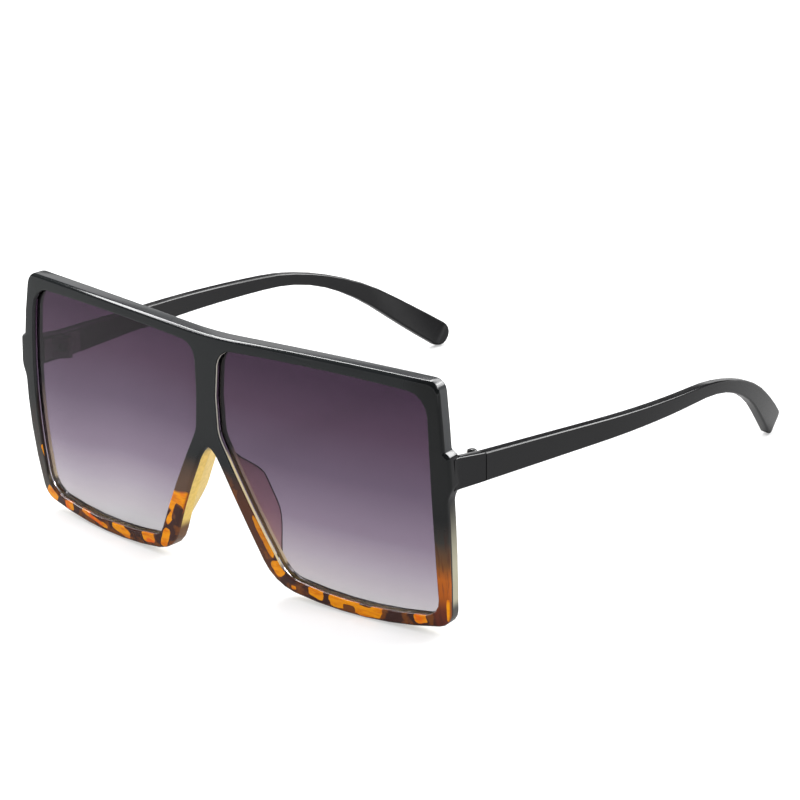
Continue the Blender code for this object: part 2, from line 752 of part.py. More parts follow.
def temple_length():
    """Length of the temple along its middle line."""
    return TEMPLE_BEND_START + TEMPLE_BEND_RADIUS * math.radians(TEMPLE_BEND) + TEMPLE_TIP_LENGTH


def temple_middle(distance):
    """Middle of the temple at a distance along it: straight, bent down on an arc, straight."""
    turn = temple_direction(distance)
    straight = min(distance, TEMPLE_BEND_START)
    tip = max(distance - temple_length() + TEMPLE_TIP_LENGTH, 0.0)
    back = straight + TEMPLE_BEND_RADIUS * math.sin(turn) + tip * math.cos(turn)
    up = -TEMPLE_BEND_RADIUS * (1.0 - math.cos(turn)) - tip * math.sin(turn)
    inward = max(distance - TEMPLE_INWARD_START, 0.0)
    across = OUTER_FACE - TEMPLE_THICKNESS / 2
    across += distance * math.tan(math.radians(TEMPLE_SPLAY)) - inward ** 2 / (2 * TEMPLE_INWARD_RADIUS)
    return Vector((across, back, up))


def temple_height(distance):
    """Full height of the temple at a distance along it."""
    if distance < TEMPLE_WAIST:
        return END_PIECE_HEIGHT + (TEMPLE_WAIST_HEIGHT - END_PIECE_HEIGHT) * distance / TEMPLE_WAIST
    share = smoothstep((distance - TEMPLE_WAIST) / (temple_length() - TEMPLE_TIP_ROUND - TEMPLE_WAIST))
    return TEMPLE_WAIST_HEIGHT + (TEMPLE_TIP_HEIGHT - TEMPLE_WAIST_HEIGHT) * share


def temple_stations():
    """Distances along the temple at which its section is drawn."""
    straight = [JOINT_GAP / 2]
    count = round(TEMPLE_INWARD_START / (2 * STATION_LENGTH))
    straight += [TEMPLE_INWARD_START * step / count for step in range(1, count)]
    tip = temple_length() - TEMPLE_TIP_ROUND
    count = round((tip - TEMPLE_INWARD_START) / STATION_LENGTH)
    bent = [TEMPLE_INWARD_START + (tip - TEMPLE_INWARD_START) * step / count for step in range(count + 1)]
    end = []
    for step in range(1, CORNER_STEPS + 1):
        turn = math.radians(TEMPLE_TIP_TURN * step / CORNER_STEPS)
        end.append(tip + TEMPLE_TIP_ROUND * math.sin(turn))
    return straight + bent + end


def temple(name, side, material, parent):
    """A temple of rounded section: it tapers, bends down behind the ear and ends in a paddle."""
    tip = temple_length() - TEMPLE_TIP_ROUND
    rings = []
    for distance in temple_stations():
        turn = temple_direction(distance)
        slope = math.tan(math.radians(TEMPLE_SPLAY))
        slope -= max(distance - TEMPLE_INWARD_START, 0.0) / TEMPLE_INWARD_RADIUS
        along = Vector((slope, math.cos(turn), -math.sin(turn))).normalized()
        outward = along.cross(Vector((0, math.sin(turn), math.cos(turn)))).normalized()
        upward = outward.cross(along)
        if distance < TEMPLE_INWARD_START:
            outward = Vector((1, 0, 0))
        roundness = max(distance - tip, 0.0) / TEMPLE_TIP_ROUND
        fullness = math.sqrt(1.0 - roundness ** 2)
        half_height = temple_height(distance) / 2 - TEMPLE_TIP_ROUND * (1.0 - fullness)
        half_width = TEMPLE_THICKNESS / 2 * (1.0 + fullness) / 2
        section = rounded_section(half_width, half_height, TEMPLE_EDGE)
        middle = temple_middle(distance)
        ring = [middle + outward * across + upward * height for across, height in section]
        rings.append([Vector((side * point.x, point.y, point.z)) for point in ring])
    builder = bmesh.new()
    add_rings(builder, rings)
    return add_object(name, builder, material, parent)


# Assembly
def build_side(side_name, side, front, materials, root):
    """Everything on one side: lens, end piece, hinge and temple."""
    lens(f"{side_name}_lens", side, materials["lens"], root)
    seat = add_empty(
        f"{side_name}_hinge_seat",
        root,
        (side * HINGE_ACROSS, HINGE_BACK, HINGE_HEIGHT),
        math.radians(-TEMPLE_DROP),
    )
    axis = add_empty(f"{side_name}_hinge_axis", seat)
    combine(front, nose_pad(f"{side_name}_nose_pad", side, None, root), "UNION")
    combine(front, end_piece(f"{side_name}_end_piece", side, seat), "UNION")
    for place, way, radius in (("upper", 1, UPPER_FILLET), ("lower", -1, LOWER_FILLET)):
        tool = fillet(f"{side_name}_{place}_fillet", side, way, radius, seat)
        combine(front, tool, "UNION")
    cut_leaf_pocket(front, f"{side_name}_front_leaf", side, -1, seat)
    middle = MIDDLE_KNUCKLE_HEIGHT / 2
    outer = middle + KNUCKLE_GAP
    reach = LEAF_HEIGHT / 2
    outer_knuckles = ((outer, reach), (-reach, -outer))
    leaf(f"{side_name}_front_hinge_leaf", side, -1, outer_knuckles, materials["metal"], seat)
    leaf(f"{side_name}_temple_hinge_leaf", side, 1, ((-middle, middle),), materials["metal"], axis)
    hinge_screw(f"{side_name}_hinge_screw", materials["screw"], seat)
    arm = temple(f"{side_name}_temple", side, materials["temple"], axis)
    cut_leaf_pocket(arm, f"{side_name}_temple_leaf", side, 1, axis)


def stand_on_floor(root):
    """Put the origin on the floor, under the middle of the box round all the pieces."""
    bpy.context.view_layer.update()
    depsgraph = bpy.context.evaluated_depsgraph_get()
    points = []
    for obj in bpy.context.scene.objects:
        if obj.type == "MESH" and not obj.hide_render:
            evaluated = obj.evaluated_get(depsgraph)
            points += [evaluated.matrix_world @ vertex.co for vertex in evaluated.data.vertices]
    low, high = ([pick(point[axis] for point in points) for axis in range(3)] for pick in (min, max))
    root.location = (-(low[0] + high[0]) / 2, -(low[1] + high[1]) / 2, -low[2])
    bpy.context.view_layer.update()


def build():
    """Clear the scene and build the sunglasses."""
    for obj in list(bpy.data.objects):
        bpy.data.objects.remove(obj, do_unlink=True)
    materials = {
        "front": plastic("two_tone_plastic", (0.045, 0.047, 0.050), 0.25),
        "temple": plastic("black_plastic", (0.035, 0.035, 0.038), 0.22),
        "lens": plastic("gradient_lens", (0.16, 0.11, 0.15), 0.08),
        "metal": finish("hinge_metal", (0.55, 0.53, 0.50), 0.35, 1.0),
        "screw": finish("screw_metal", (0.62, 0.61, 0.60), 0.25, 1.0),
    }
    root = add_empty("sunglasses", None)
    front = front_rim(materials["front"], root)
    for side_name, side in SIDES:
        build_side(side_name, side, front, materials, root)
    stand_on_floor(root)


build()
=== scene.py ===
"""Square sunglasses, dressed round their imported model.

Run as a script. Lengths are in metres; the front faces -Y, the temples run to +Y and the
floor is at zero height. Every CAD node gets a smooth copy of itself with its own finish.
"""

import json
import math
from types import SimpleNamespace

import bpy
from bpy.props import FloatProperty, FloatVectorProperty, PointerProperty
from mathutils import Matrix, Vector

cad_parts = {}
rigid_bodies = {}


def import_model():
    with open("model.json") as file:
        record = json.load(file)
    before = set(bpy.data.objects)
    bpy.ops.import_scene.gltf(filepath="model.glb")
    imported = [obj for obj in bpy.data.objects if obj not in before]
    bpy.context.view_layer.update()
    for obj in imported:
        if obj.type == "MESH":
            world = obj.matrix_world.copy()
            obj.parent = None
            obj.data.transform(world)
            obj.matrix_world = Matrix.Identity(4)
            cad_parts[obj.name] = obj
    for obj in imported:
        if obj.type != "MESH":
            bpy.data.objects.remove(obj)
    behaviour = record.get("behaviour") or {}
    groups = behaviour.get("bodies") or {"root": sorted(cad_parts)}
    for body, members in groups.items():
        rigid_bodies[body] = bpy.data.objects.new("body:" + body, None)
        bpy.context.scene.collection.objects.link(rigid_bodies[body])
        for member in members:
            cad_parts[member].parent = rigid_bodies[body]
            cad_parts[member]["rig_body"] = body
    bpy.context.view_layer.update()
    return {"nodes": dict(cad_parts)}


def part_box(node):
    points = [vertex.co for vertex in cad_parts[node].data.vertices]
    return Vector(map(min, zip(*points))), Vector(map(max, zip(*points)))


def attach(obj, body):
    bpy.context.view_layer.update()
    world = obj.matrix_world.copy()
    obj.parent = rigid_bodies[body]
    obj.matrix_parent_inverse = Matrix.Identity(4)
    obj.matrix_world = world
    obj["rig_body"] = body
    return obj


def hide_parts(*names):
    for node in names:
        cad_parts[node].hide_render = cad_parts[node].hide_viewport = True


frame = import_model()

bl_info = {
    "name": "Square Sunglasses",
    "version": (1, 0, 0),
    "blender": (4, 5, 0),
    "location": "3D View > Sidebar > Sunglasses",
    "description": "Builds the finished look of folding square sunglasses",
    "category": "Add Mesh",
}

SIDES = ("left", "right")

# Smooth copies of the CAD nodes
MERGE_DISTANCE = 0.000004
NORMAL_WEIGHT = 80
MOULDED_SHARP_ANGLE = math.radians(50.0)
LENS_SHARP_ANGLE = math.radians(30.0)
HINGE_SHARP_ANGLE = math.radians(35.0)

# Curves of the moulded front and edges of its nose pads, as the CAD model has them
FACE_RADIUS = 0.4650
UPRIGHT_RADIUS = 0.2460
UPRIGHT_MIDDLE = 0.0305
FRONT_LEAN = math.radians(2.5)
FACE_ORIGIN = Vector((0.0, -0.077576, 0.003106))
RIM_DEPTH = 0.0042
PAD_REACH = 0.0073
PAD_TOP = 0.0344
PAD_UPPER_RAMP = 0.0094
PAD_FULL_LENGTH = 0.0065
PAD_FULL_TOP = PAD_TOP - PAD_UPPER_RAMP
PAD_FULL_BOTTOM = PAD_FULL_TOP - PAD_FULL_LENGTH
PAD_BOTTOM = 0.0032

# How far behind the face the print reaches on the rims, on opening walls and on the lower ones
RIM_PRINT = 0.0009
WALL_PRINT = 0.00025
LOWER_WALL_PRINT = 0.0040

# How far a wall looks across or up, how far up a lower one looks, and where a wall ends before the rear
WALL_LEVEL_SHARE = 0.5
LOWER_WALL_RISE = 0.75
REAR_MARGIN = 0.0002

# Lamps: name, azimuth, elevation, distance, width and height, power; azimuth 0 is the front
LAMPS = (
    ("left_strip_lamp", -104.0, 45.6, 1.10, (1.36, 0.19), 11.5),
    ("rear_strip_lamp", -172.0, 41.5, 1.10, (1.00, 0.13), 2.6),
    ("right_rear_lamp", 148.0, 36.0, 1.10, (0.90, 0.34), 8.0),
    ("left_rear_lamp", -125.0, 20.0, 1.00, (0.42, 0.14), 0.14),
)
SENSOR_WIDTH = 36.0

# Amber patches of the print: middle across and in height, half length, half width, slope in degrees
PATCHES = (
    (0.0253, 0.0036, 0.0008, 0.0006, 0.0),
    (0.0326, 0.0037, 0.0023, 0.0014, -14.0),
    (0.0416, 0.0031, 0.0046, 0.0017, 4.0),
    (0.0491, 0.0027, 0.0045, 0.0019, 5.0),
    (0.0654, 0.0043, 0.0018, 0.0015, 10.0),
    (0.0739, 0.0066, 0.0044, 0.0004, 84.0),
    (0.0169, 0.0159, 0.0058, 0.0008, -62.0),
    (0.0208, 0.0079, 0.0023, 0.0020, -62.0),
    (-0.0701, 0.0125, 0.0062, 0.0007, -75.0),
    (-0.0702, 0.0048, 0.0022, 0.0014, -35.0),
    (-0.0629, 0.0035, 0.0018, 0.0014, 0.0),
    (-0.0513, 0.0029, 0.0056, 0.0008, -12.0),
    (-0.0402, 0.0030, 0.0037, 0.0013, -12.0),
    (-0.0283, 0.0042, 0.0024, 0.0014, 8.0),
    (-0.0211, 0.0058, 0.0035, 0.0012, 62.0),
    (-0.0148, 0.0193, 0.0048, 0.0044, 50.0),
    (-0.0168, 0.0138, 0.0040, 0.0008, 50.0),
)
# Dark notches in the patches
NOTCHES = (
    (0.0430, 0.0014, 0.0019, 0.0015, 0.0),
    (0.0485, 0.0048, 0.0021, 0.0012, 0.0),
    (-0.0505, 0.0041, 0.0030, 0.0009, -10.0),
    (-0.0145, 0.0148, 0.0032, 0.0014, 62.0),
)
# A distance beyond every blot, and the distances at which the edge of a blot comes in
FAR_AWAY = 9.0
BLOT_EDGE = (1.06, 0.96)

# Colours of the print beside those in the settings
AMBER_STREAK_SHARES = (0.72, 0.42, 0.50)
AMBER_STREAK_STRENGTH = 0.8
AMBER_RED = (0.86, 0.130, 0.004)
# On the rounded edges of the face the print turns a translucent brown, with amber darkened as painted shade
# and the dark ground lightened as painted light
AMBER_EDGE_SHADE = (0.230, 0.052, 0.005)
AMBER_NEAR_LEG = (0.300, 0.080, 0.010)
AMBER_NEAR_LEG_SHARE = 0.45
GROUND_LIGHT = (0.060, 0.022, 0.016)
GROUND_EDGE_LIGHT = (0.075, 0.028, 0.012)
GROUND_CLOUD = (0.170, 0.052, 0.012)
GROUND_NEAR_LEG_SHARE = 0.3
# Painted shade on the lower walls of the openings, behind the rim print
LOWER_WALL_PAINTED_SHADE = (0.012, 0.008, 0.008)
FAR_LEG_STAIN = (0.110, 0.062, 0.040)
UPRIGHT_STREAK = (0.060, 0.018, 0.010)
UPRIGHT_STREAK_STRENGTH = 0.5
# Painted shade: the print's slate is darker at the near end of the brow and on the upper near upright
NEAR_BROW_SHADE_SHARE = 0.45
NEAR_UPRIGHT_STOPS = (
    (0.00, (0.095, 0.018, 0.012)),
    (0.18, (0.140, 0.028, 0.010)),
    (0.36, (0.420, 0.095, 0.007)),
    (0.58, (0.470, 0.115, 0.008)),
    (0.78, (0.160, 0.062, 0.016)),
    (1.00, (0.040, 0.036, 0.030)),
)
FAR_UPRIGHT_STOPS = (
    (0.00, (0.060, 0.052, 0.046)),
    (0.50, (0.050, 0.046, 0.040)),
    (1.00, (0.026, 0.027, 0.025)),
)

# Waves of the print's edges, and where its parts start and end: across, behind the face and in height
PRINT_WAVE = 0.006
UPRIGHT_WAVE = 0.002
NEAR_LEG_START = (0.0, 0.0010)
NEAR_LEG_END = (0.0200, 0.0180)
UPRIGHT_ASIDE = (0.0700, 0.0715)
NEAR_BROW_SHADE_ACROSS = (0.0620, 0.0700)
TURNED_EDGE_BEHIND = (0.00010, 0.00060)
LOWER_WALL_BEHIND = (0.0009, 0.0012)
FAR_STAIN_HEIGHT = (0.0240, 0.0250)
UPRIGHT_FALL_HEIGHT = (0.0060, 0.0300)

# Colours of the plastic behind the print beside those in the settings
CHAMPAGNE_MOTTLE_SHARE = 0.86
GOLD_MOTTLE_SHARE = 0.88
PAD_OUTLINE = (0.020, 0.018, 0.022)
PAD_HEEL = (0.150, 0.070, 0.030)
SILL = (0.055, 0.038, 0.026)
FLANK = (0.400, 0.375, 0.270)
# Painted shade at the lower end of the outer side walls, where they turn down towards the floor
FOOT_SHADE = (0.070, 0.068, 0.062)
SEAM = (0.020, 0.014, 0.010)
SLATE = (0.044, 0.046, 0.048)
END_PIECE = (0.005, 0.005, 0.006)
# Painted highlight: a pale line along the front edge of the near opening's wall
EDGE_HIGHLIGHT = (0.72, 0.68, 0.60)

# Where these colours start and end: across, behind the face, in height, and by the way a face looks
PAD_ASIDE = (0.0200, 0.0300)
PAD_OUTLINE_MARGIN = (0.0010, 0.0014)
PAD_BACK_ASIDE = (0.036, 0.030)
PAD_BACK_BEHIND = (0.0030, 0.0040)
PAD_BACK_OUTWARD = (0.15, 0.30)
PAD_HEEL_ASIDE = (0.0260, 0.0240)
PAD_HEEL_HEIGHT = (0.0130, 0.0095)
PAD_HEEL_OUTWARD = (-0.10, -0.40)
SILL_HEIGHT = (0.0095, 0.0080)
FLANK_ASIDE = (0.068, 0.070)
FLANK_OUTWARD = (0.4, 0.6)
FOOT_SHADE_HEIGHT = (0.0105, 0.0075)
SEAM_BEHIND = (0.0016, 0.0013)
SLATE_ASIDE = (0.0150, 0.0400)
SLATE_HEIGHT = (0.0170, 0.0380)
SLATE_HEIGHT_AT_PADS = (0.0330, 0.0380)
# Heights over which the slate gives way to the painted glow of the opening walls
WALL_GLOW_HEIGHT = (0.0380, 0.0300)
END_PIECE_ASIDE = (0.0752, 0.0762)
END_PIECE_BEHIND = (0.0044, 0.0056)
EDGE_HIGHLIGHT_BEHIND = (0.0006, 0.0005)

# Tint of the lenses from the bottom up, and where the far lens is painted paler near the nose as painted
# light
TINT_STOPS = (
    (0.00, (0.600, 0.585, 0.610)),
    (0.07, (0.540, 0.500, 0.540)),
    (0.17, (0.422, 0.373, 0.437)),
    (0.32, (0.247, 0.194, 0.264)),
    (0.55, (0.122, 0.086, 0.134)),
    (0.77, (0.071, 0.039, 0.071)),
    (0.95, (0.040, 0.019, 0.042)),
)
FAR_LENS_LIGHT_SHARE = 0.07
FAR_LENS_LIGHT_START = (-0.0620, -0.0300)
FAR_LENS_LIGHT_END = (0.0, -0.0100)

# Darker shares of the temple and metal colours, and polish of the metals
TEMPLE_DEEP_SHARE = 0.7
METAL_WORN_SHARE = 0.6
LEAF_ROUGHNESS = 0.30
SCREW_ROUGHNESS = 0.16

# Fineness of the noise, in clouds to a metre
PATCH_EDGE_NOISE = 300.0
PRINT_NOISE = 70.0
AMBER_STREAK_NOISE = 900.0
AMBER_RED_NOISE = 95.0
GROUND_NOISE = 210.0
UPRIGHT_NOISE = 1500.0
MOTTLE_NOISE = 900.0
TEMPLE_NOISE = 45.0
METAL_NOISE = 4000.0
SMUDGE_NOISE = 55.0
HAIR_PLACE_NOISE = 90.0
RIPPLE_NOISE = 120.0

# How the noise is drawn out along its axes and turned, for streaks
AMBER_STREAK_STRETCH = (0.25, 1.0, 1.0)
AMBER_STREAK_TURN = (0.0, 0.5, 0.0)
UPRIGHT_STRETCH = (1.0, 1.0, 0.12)
METAL_STRETCH = (1.0, 0.06, 1.0)

# Levels of the noise between which streaks, clouds and handling marks come in
AMBER_STREAKS = (0.40, 0.70)
AMBER_RED_CLOUDS = (0.58, 0.66)
GROUND_CLOUDS = (0.50, 0.60)
UPRIGHT_STREAKS = (0.45, 0.70)
MOTTLE_CLOUDS = (0.35, 0.65)
SMUDGE_CLOUDS = (0.45, 0.70)
HAIR_LINES = (0.988, 1.0)
HAIR_PLACES = (0.55, 0.70)

# Depth of the handling relief on each finish, and how strongly it shows
FRONT_RELIEF = 0.00004
LENS_RELIEF = 0.00001
TEMPLE_RELIEF = 0.00005
METAL_RELIEF = 0.00002
RELIEF_STRENGTH = 0.6

# Floor: how bright each kind of ray sees it, and its glow near the object and away from it
FLOOR_PALE = 0.60
FLOOR_IN_REFLECTIONS = 0.27
FLOOR_THROUGH_LENSES = 0.38
FLOOR_GLOW_REACH = (0.15, 0.60)
FLOOR_GLOW_NEAR = 0.40
FLOOR_GLOW_AWAY = 0.80

# Studio seen in reflections: white up to the horizon, nearly dark above it
HORIZON = (0.05, 0.12)
DARK_STUDIO = 0.05


# Settings
class FrontSettings(bpy.types.PropertyGroup):
    """Colours and levels of the moulded front."""

    upper_colour: FloatVectorProperty(
        name="Upper Colour",
        description="Slate black of the brow and the upper rims",
        subtype="COLOR", size=3, min=0.0, max=1.0,
        default=(0.014, 0.016, 0.017),
    )
    body_colour: FloatVectorProperty(
        name="Body Colour",
        description="Champagne plastic of the lower rims",
        subtype="COLOR", size=3, min=0.0, max=1.0,
        default=(0.56, 0.48, 0.32),
    )
    pad_colour: FloatVectorProperty(
        name="Pad Colour",
        description="Golden plastic of the nose pads",
        subtype="COLOR", size=3, min=0.0, max=1.0,
        default=(0.86, 0.62, 0.17),
    )
    # Painted glow: the opening walls are painted brighter than the champagne body, standing in for light that
    # glows through the plastic
    wall_glow_colour: FloatVectorProperty(
        name="Wall Colour",
        description="Pale gold walls of the lens openings",
        subtype="COLOR", size=3, min=0.0, max=1.0,
        default=(1.0, 0.86, 0.50),
    )
    pad_back_colour: FloatVectorProperty(
        name="Pad Back Colour",
        description="Rosy plastic of the sides of the pads that face the lenses",
        subtype="COLOR", size=3, min=0.0, max=1.0,
        default=(0.80, 0.53, 0.53),
    )
    dark_colour: FloatVectorProperty(
        name="Print Ground",
        description="Dark brown between the amber patches",
        subtype="COLOR", size=3, min=0.0, max=1.0,
        default=(0.036, 0.014, 0.013),
    )
    amber_colour: FloatVectorProperty(
        name="Amber",
        description="Amber patches of the print",
        subtype="COLOR", size=3, min=0.0, max=1.0,
        default=(0.93, 0.33, 0.0),
    )
    fade_top: FloatProperty(
        name="Fade Top",
        description="Height at which the slate colour starts to fade",
        unit="LENGTH", default=0.0330,
    )
    fade_bottom: FloatProperty(
        name="Fade Bottom",
        description="Height at which the slate colour has gone",
        unit="LENGTH", default=0.0240,
    )
    patch_waver: FloatProperty(
        name="Patch Waver",
        description="How unevenly the edges of the amber patches run",
        min=0.0, max=3.0, default=1.5,
    )


class LensSettings(bpy.types.PropertyGroup):
    """Tint of the lenses."""

    gradient_bottom: FloatProperty(
        name="Gradient Bottom",
        description="Height at which the tint is weakest",
        unit="LENGTH", default=0.0040,
    )
    gradient_top: FloatProperty(
        name="Gradient Top",
        description="Height at which the tint is strongest",
        unit="LENGTH", default=0.0640,
    )
    roughness: FloatProperty(
        name="Polish",
        description="Roughness of the lens faces",
        min=0.0, max=1.0, default=0.015,
    )


class TempleSettings(bpy.types.PropertyGroup):
    """Finish of the temples."""

    colour: FloatVectorProperty(
        name="Colour",
        description="Black of the temples",
        subtype="COLOR", size=3, min=0.0, max=1.0,
        default=(0.009, 0.009, 0.010),
    )
    roughness: FloatProperty(
        name="Roughness",
        description="Roughness of the moulded surface",
        min=0.0, max=1.0, default=0.13,
    )


class HingeSettings(bpy.types.PropertyGroup):
    """Finish of the hinge leaves and screws."""

    leaf_colour: FloatVectorProperty(
        name="Leaf Colour",
        description="Nickel of the hinge leaves",
        subtype="COLOR", size=3, min=0.0, max=1.0,
        default=(0.50, 0.48, 0.45),
    )
    screw_colour: FloatVectorProperty(
        name="Screw Colour",
        description="Steel of the hinge screws",
        subtype="COLOR", size=3, min=0.0, max=1.0,
        default=(0.10, 0.10, 0.10),
    )


class StageSettings(bpy.types.PropertyGroup):
    """Floor, lamps and camera."""

    floor_size: FloatProperty(
        name="Floor Size",
        description="Width of the floor",
        unit="LENGTH", default=8.0,
    )
    azimuth: FloatProperty(
        name="Camera Azimuth",
        description="Direction the camera looks from, round the object",
        subtype="ANGLE", default=math.radians(45.0992),
    )
    elevation: FloatProperty(
        name="Camera Elevation",
        description="How far the camera looks down",
        subtype="ANGLE", default=math.radians(22.3845),
    )
    roll: FloatProperty(
        name="Camera Roll",
        description="Turn of the picture",
        subtype="ANGLE", default=math.radians(5.2499),
    )
    distance: FloatProperty(
        name="Camera Distance",
        description="Distance from the camera to the point it looks at",
        unit="LENGTH", default=0.900,
    )
    target: FloatVectorProperty(
        name="Camera Target",
        description="Point in the middle of the picture",
        subtype="XYZ", unit="LENGTH", size=3,
        default=(0.071673, -0.077576, 0.066058),
    )
    lens: FloatProperty(
        name="Focal Length",
        description="Focal length in millimetres",
        default=170.864,
    )


# Nodes of a material
def add_node(tree, kind, inputs=None, **settings):
    """Add a shader node, set its options, and fill or link its inputs by name or number."""
    made = tree.nodes.new("ShaderNode" + kind)
    for key, value in settings.items():
        setattr(made, key, value)
    for key, value in (inputs or {}).items():
        if isinstance(value, bpy.types.NodeSocket):
            tree.links.new(value, made.inputs[key])
        else:
            made.inputs[key].default_value = value
    return made


def math_node(tree, operation, first, second=0.0):
    """The result of a sum on one or two values."""
    return add_node(tree, "Math", {0: first, 1: second}, operation=operation).outputs[0]


def product(tree, first, *others):
    """All values multiplied together."""
    result = first
    for other in others:
        result = math_node(tree, "MULTIPLY", result, other)
    return result


def rest_of_one(tree, value):
    """What is missing from a value up to 1."""
    return math_node(tree, "SUBTRACT", 1.0, value)


def between(tree, value, span, smooth=True):
    """0 at the start and 1 at the end of a span, with a smooth or a straight run between."""
    kind = "SMOOTHSTEP" if smooth else "LINEAR"
    start, end = span
    made = add_node(tree, "MapRange", {"Value": value, "From Min": start, "From Max": end},
                    interpolation_type=kind)
    return made.outputs["Result"]


def mix_values(tree, factor, first, second):
    """A mix of two numbers."""
    return add_node(tree, "Mix", {0: factor, 2: first, 3: second}, data_type="FLOAT").outputs[0]


def blend(tree, factor, first, second):
    """A mix of two colours."""
    made = add_node(tree, "Mix", data_type="RGBA")
    for socket, value in ((made.inputs[0], factor), (made.inputs[6], first), (made.inputs[7], second)):
        if isinstance(value, bpy.types.NodeSocket):
            tree.links.new(value, socket)
        elif hasattr(value, "__len__"):
            socket.default_value = (*value[:3], 1.0)
        else:
            socket.default_value = value
    return made.outputs[2]


def share_of(colour, share):
    """A darker shade of a colour."""
    return tuple(channel * share for channel in colour)


def grey(level):
    """A plain grey."""
    return (level, level, level)


def ramp(tree, factor, stops):
    """A colour ramp with the given places and colours."""
    made = add_node(tree, "ValToRGB", {"Fac": factor})
    elements = made.color_ramp.elements
    while len(elements) < len(stops):
        elements.new(0.5)
    for element, (place, colour) in zip(elements, stops):
        element.position = place
        element.color = (*colour, 1.0)
    return made.outputs["Color"]


def object_place(tree):
    """The place on the object."""
    return add_node(tree, "TexCoord").outputs["Object"]


def axis(tree, place, name):
    """One coordinate of a place."""
    return add_node(tree, "SeparateXYZ", {0: place}).outputs[name]


def attribute(tree, name):
    """A number that is stored on the mesh."""
    return add_node(tree, "Attribute", attribute_name=name).outputs["Fac"]


def noise(tree, place, scale, detail=2.0, **inputs):
    """Soft clouds from 0 to 1."""
    values = {"Vector": place, "Scale": scale, "Detail": detail, **inputs}
    return add_node(tree, "TexNoise", values).outputs["Fac"]


def stretched(tree, place, scale, turn=(0.0, 0.0, 0.0)):
    """A place drawn out along its axes, for streaks."""
    return add_node(tree, "Mapping", {"Vector": place, "Scale": scale, "Rotation": turn}).outputs["Vector"]


def new_material(name):
    """An empty material with a shader and its output."""
    made = bpy.data.materials.new(name)
    made.use_nodes = True
    tree = made.node_tree
    tree.nodes.clear()
    shader = add_node(tree, "BsdfPrincipled")
    add_node(tree, "OutputMaterial", {"Surface": shader.outputs["BSDF"]})
    return made, tree, shader


def new_group(name, inputs, outputs):
    """A shader node group with named number inputs and outputs."""
    tree = bpy.data.node_groups.new(name, "ShaderNodeTree")
    for socket, default in inputs:
        made = tree.interface.new_socket(socket, in_out="INPUT", socket_type="NodeSocketFloat")
        made.default_value = default
    for socket in outputs:
        tree.interface.new_socket(socket, in_out="OUTPUT", socket_type="NodeSocketFloat")
    start = tree.nodes.new("NodeGroupInput")
    end = tree.nodes.new("NodeGroupOutput")
    return tree, start, end


def handling_group():
    """Faint smudges and hair scratches of a polished surface that is handled."""
    name = "handling_marks"
    if name in bpy.data.node_groups:
        return bpy.data.node_groups[name]
    inputs = (("Roughness", 0.2), ("Smudge", 0.05), ("Scratch", 0.03), ("Ripple", 0.2))
    tree, start, end = new_group(name, inputs, ("Roughness", "Height"))
    place = object_place(tree)
    cloud = between(tree, noise(tree, place, SMUDGE_NOISE, detail=3.0, Roughness=0.6), SMUDGE_CLOUDS)
    waves = {"Vector": place, "Scale": 260.0, "Distortion": 9.0, "Detail": 3.0, "Detail Scale": 2.2}
    hair = add_node(tree, "TexWave", waves, wave_type="BANDS", bands_direction="DIAGONAL")
    line = between(tree, hair.outputs["Fac"], HAIR_LINES)
    here = between(tree, noise(tree, place, HAIR_PLACE_NOISE, detail=1.0), HAIR_PLACES)
    scratch = product(tree, line, here, start.outputs["Scratch"])
    rough = product(tree, cloud, start.outputs["Smudge"])
    rough = math_node(tree, "ADD", rough, scratch)
    rough = math_node(tree, "ADD", rough, start.outputs["Roughness"])
    height = product(tree, noise(tree, place, RIPPLE_NOISE), start.outputs["Ripple"])
    height = math_node(tree, "SUBTRACT", height, scratch)
    tree.links.new(rough, end.inputs["Roughness"])
    tree.links.new(height, end.inputs["Height"])
    return tree


def handled(tree, shader, relief, **marks):
    """Give a shader its roughness and its relief, in metres, from the handling marks."""
    group = add_node(tree, "Group", node_tree=handling_group())
    for name, value in marks.items():
        group.inputs[name.title()].default_value = value
    tree.links.new(group.outputs["Roughness"], shader.inputs["Roughness"])
    bump = {"Strength": RELIEF_STRENGTH, "Distance": relief, "Height": group.outputs["Height"]}
    tree.links.new(add_node(tree, "Bump", bump).outputs["Normal"], shader.inputs["Normal"])


# Smooth copies of the CAD nodes
def only(piece):
    """Select one piece and make it active."""
    bpy.ops.object.select_all(action="DESELECT")
    bpy.context.view_layer.objects.active = piece
    piece.select_set(True)


def smooth_copy(node, name, material, sharp_angle=MOULDED_SHARP_ANGLE):
    """A merged, smoothly shaded copy of a CAD node that stands for it and rides on its body."""
    source = frame["nodes"][node]
    piece = bpy.data.objects.new(name, source.data.copy())
    piece.data.name = name
    bpy.context.scene.collection.objects.link(piece)
    piece.data.materials.clear()
    piece.data.materials.append(material)
    only(piece)
    bpy.ops.mesh.customdata_custom_splitnormals_clear()
    bpy.ops.object.mode_set(mode="EDIT")
    bpy.ops.mesh.select_all(action="SELECT")
    bpy.ops.mesh.remove_doubles(threshold=MERGE_DISTANCE)
    bpy.ops.mesh.select_all(action="DESELECT")
    bpy.ops.object.mode_set(mode="OBJECT")
    bpy.ops.object.shade_smooth_by_angle(angle=sharp_angle)
    bpy.ops.object.modifier_add(type="WEIGHTED_NORMAL")
    piece.modifiers[-1].keep_sharp = True
    piece.modifiers[-1].weight = NORMAL_WEIGHT
    bpy.ops.object.modifier_apply(modifier=piece.modifiers[-1].name)
    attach(piece, source["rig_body"])
    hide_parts(node)
    return piece


def upright_point(point):
    """A point of the front as it lies before the front leans."""
    return Matrix.Rotation(FRONT_LEAN, 3, "X") @ (point - FACE_ORIGIN)


